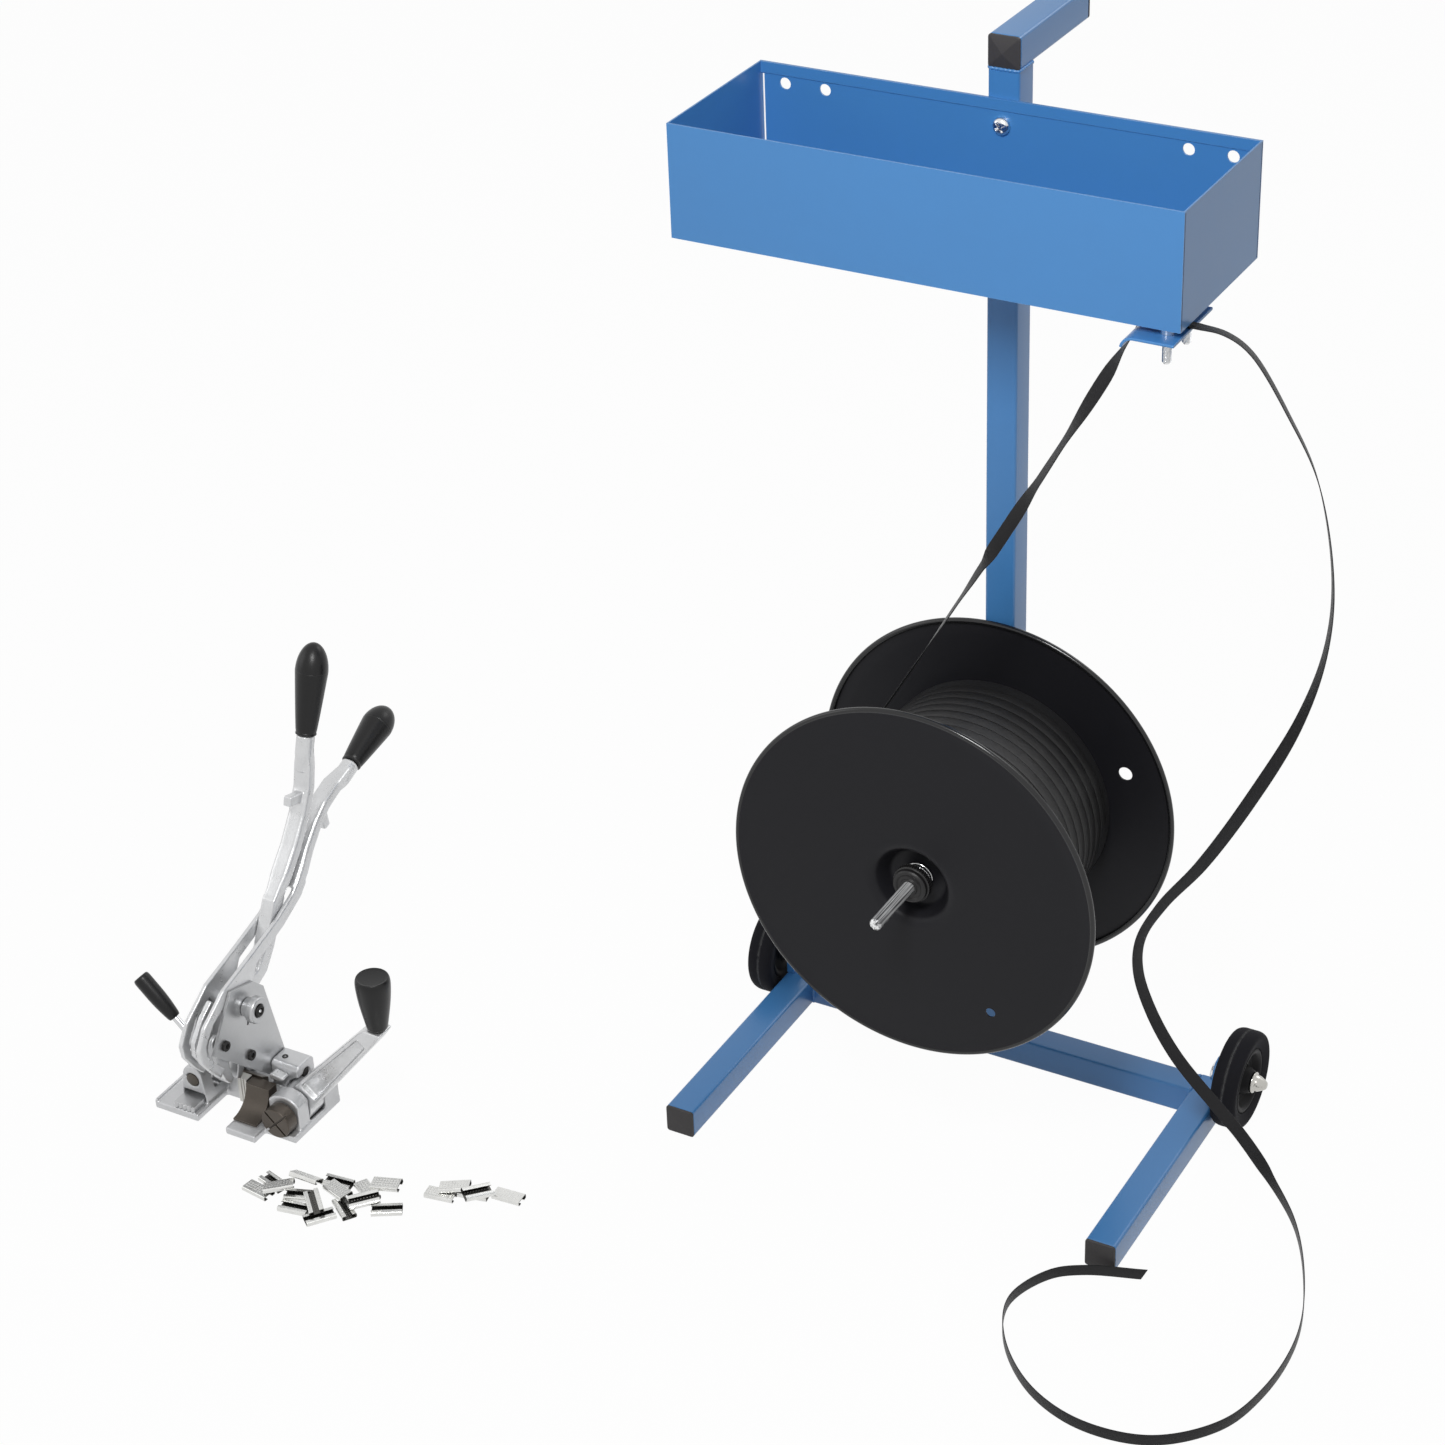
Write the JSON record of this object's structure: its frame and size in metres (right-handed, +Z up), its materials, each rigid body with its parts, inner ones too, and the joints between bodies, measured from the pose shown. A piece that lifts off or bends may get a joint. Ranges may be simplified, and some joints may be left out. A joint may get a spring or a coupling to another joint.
{
  "type": "manual strapping set",
  "caption": "Mobile strap dispenser on wheels with a tool tray and a reel of plastic strap, beside a hand tensioner and sealer with loose metal seals.",
  "frame": {"origin": "on the floor under the column's centre", "axes": "+X to the trolley's right along the tray, +Y to the rear, +Z up"},
  "size_m": [1.1891, 0.6672, 1.08],
  "materials": {
    "blue_paint": "semi-gloss blue enamel",
    "black_flange": "satin black enamel",
    "black_plastic": "matte black moulded plastic",
    "tyre_rubber": "scuffed dark grey rubber",
    "bright_plate": "bright zinc and chrome plating",
    "strap_plastic": "embossed black plastic strap",
    "roll_core": "brown board",
    "cast_alloy": "bead-blasted cast aluminium",
    "plate_steel": "brushed steel plate",
    "forged_alloy": "tumbled bright forging",
    "bronzed_steel": "dark bronzed tool steel",
    "black_steel": "black oxide"
  },
  "bodies": {
    "root": {"base_crossbar": "blue_paint", "left_leg": "blue_paint", "right_leg": "blue_paint", "column": "blue_paint", "handle_bar": "blue_paint", "tray": "blue_paint", "strap_guide_plate": "blue_paint", "left_axle_bracket": "blue_paint", "right_axle_bracket": "blue_paint", "left_leg_cap": "black_plastic", "right_leg_cap": "black_plastic", "handle_front_cap": "black_plastic", "handle_rear_cap": "black_plastic", "tray_screw": "bright_plate", "guide_bolt_front": "bright_plate", "guide_bolt_rear": "bright_plate", "left_stub_axle": "bright_plate", "right_stub_axle": "bright_plate", "left_axle_cap": "bright_plate", "right_axle_cap": "bright_plate", "reel_axle": "bright_plate", "brake_spring": "bright_plate", "strap_feed": "strap_plastic", "strap_tail": "strap_plastic", "tool_base": "cast_alloy", "gripper_pin": "black_steel", "anvil_block": "bronzed_steel", "cutter_post": "plate_steel", "head_hinge_pin": "black_steel", "seal_1": "bright_plate", "seal_2": "bright_plate", "seal_3": "bright_plate"},
    "reel": {"front_flange": "black_flange", "rear_flange": "black_flange", "reel_core": "roll_core", "strap_roll": "strap_plastic", "strap_winding": "strap_plastic"},
    "brake": {"brake_collar": "black_plastic"},
    "left_wheel": {"left_tyre": "tyre_rubber", "left_hub": "black_plastic"},
    "right_wheel": {"right_tyre": "tyre_rubber", "right_hub": "black_plastic"},
    "gripper": {"gripper_lever": "bright_plate", "gripper_grip": "black_plastic"},
    "gripper_foot": {"gripper_plate": "plate_steel"},
    "windlass": {"windlass": "bronzed_steel"},
    "tension": {"tension_lever": "forged_alloy", "tension_knob": "black_plastic"},
    "pawl": {"pawl": "plate_steel"},
    "head": {"left_side_plate": "plate_steel", "right_side_plate": "plate_steel", "lever_pin": "bright_plate", "upper_jaw_pin": "black_steel", "lower_jaw_pin": "black_steel"},
    "front_lever": {"front_lever": "forged_alloy", "front_grip": "black_plastic"},
    "rear_lever": {"rear_lever": "forged_alloy", "rear_grip": "black_plastic"},
    "front_jaw": {"front_jaw": "plate_steel"},
    "rear_jaw": {"rear_jaw": "plate_steel"}
  },
  "joints": [
    {"name": "reel_spin", "type": "hinge", "parent": "root", "child": "reel", "pos_m": [0, -0.1115, 0.325], "axis": [0, 1, 0], "continuous": true},
    {"name": "brake_turn", "type": "hinge", "parent": "root", "child": "brake", "pos_m": [0, -0.2085, 0.325], "axis": [0, 1, 0], "continuous": true},
    {"name": "left_wheel_spin", "type": "hinge", "parent": "root", "child": "left_wheel", "pos_m": [-0.2555, 0, 0.05], "axis": [1, 0, 0], "continuous": true},
    {"name": "right_wheel_spin", "type": "hinge", "parent": "root", "child": "right_wheel", "pos_m": [0.2555, 0, 0.05], "axis": [1, 0, 0], "continuous": true},
    {"name": "gripper_lift", "type": "hinge", "parent": "root", "child": "gripper", "pos_m": [-0.685, -0.423, 0.033], "axis": [0, 1, 0], "range_deg": [0, 34]},
    {"name": "gripper_plate_slide", "type": "slide", "parent": "root", "child": "gripper_foot", "axis": [0, 0, 1], "range_m": [0, 0.004]},
    {"name": "windlass_spin", "type": "hinge", "parent": "root", "child": "windlass", "pos_m": [-0.578, -0.441, 0.021], "axis": [0, 1, 0], "continuous": true},
    {"name": "tension_swing", "type": "hinge", "parent": "root", "child": "tension", "pos_m": [-0.578, -0.411, 0.021], "axis": [0, 1, 0], "range_deg": [-12, 25]},
    {"name": "pawl_rock", "type": "hinge", "parent": "root", "child": "pawl", "pos_m": [-0.6072, -0.4123, 0.0428], "axis": [0, 1, 0], "range_deg": [-12, 20], "stiffness_Nm_per_rad": 0.05},
    {"name": "head_tilt", "type": "hinge", "parent": "root", "child": "head", "pos_m": [-0.6325, -0.393, 0.04], "axis": [1, 0, 0], "range_deg": [0, 12.5]},
    {"name": "front_lever_swing", "type": "hinge", "parent": "head", "child": "front_lever", "pos_m": [-0.6325, -0.432, 0.136], "axis": [1, 0, 0], "range_deg": [0, 35]},
    {"name": "rear_lever_swing", "type": "hinge", "parent": "head", "child": "rear_lever", "pos_m": [-0.6325, -0.432, 0.136], "axis": [1, 0, 0], "range_deg": [-35, 0]},
    {"name": "front_jaw_swing", "type": "hinge", "parent": "head", "child": "front_jaw", "pos_m": [-0.6325, -0.471, 0.114], "axis": [1, 0, 0], "range_deg": [-10.5, 0]},
    {"name": "rear_jaw_swing", "type": "hinge", "parent": "head", "child": "rear_jaw", "pos_m": [-0.6325, -0.435, 0.079], "axis": [1, 0, 0], "range_deg": [0, 10.5]}
  ],
  "couplings": [
    {"joint": "gripper_plate_slide", "follows": "gripper_lift", "m_per_rad": 0.00674},
    {"joint": "rear_lever_swing", "follows": "front_lever_swing", "ratio": -1},
    {"joint": "front_jaw_swing", "follows": "front_lever_swing", "ratio": -0.3},
    {"joint": "rear_jaw_swing", "follows": "front_lever_swing", "ratio": 0.3}
  ]
}
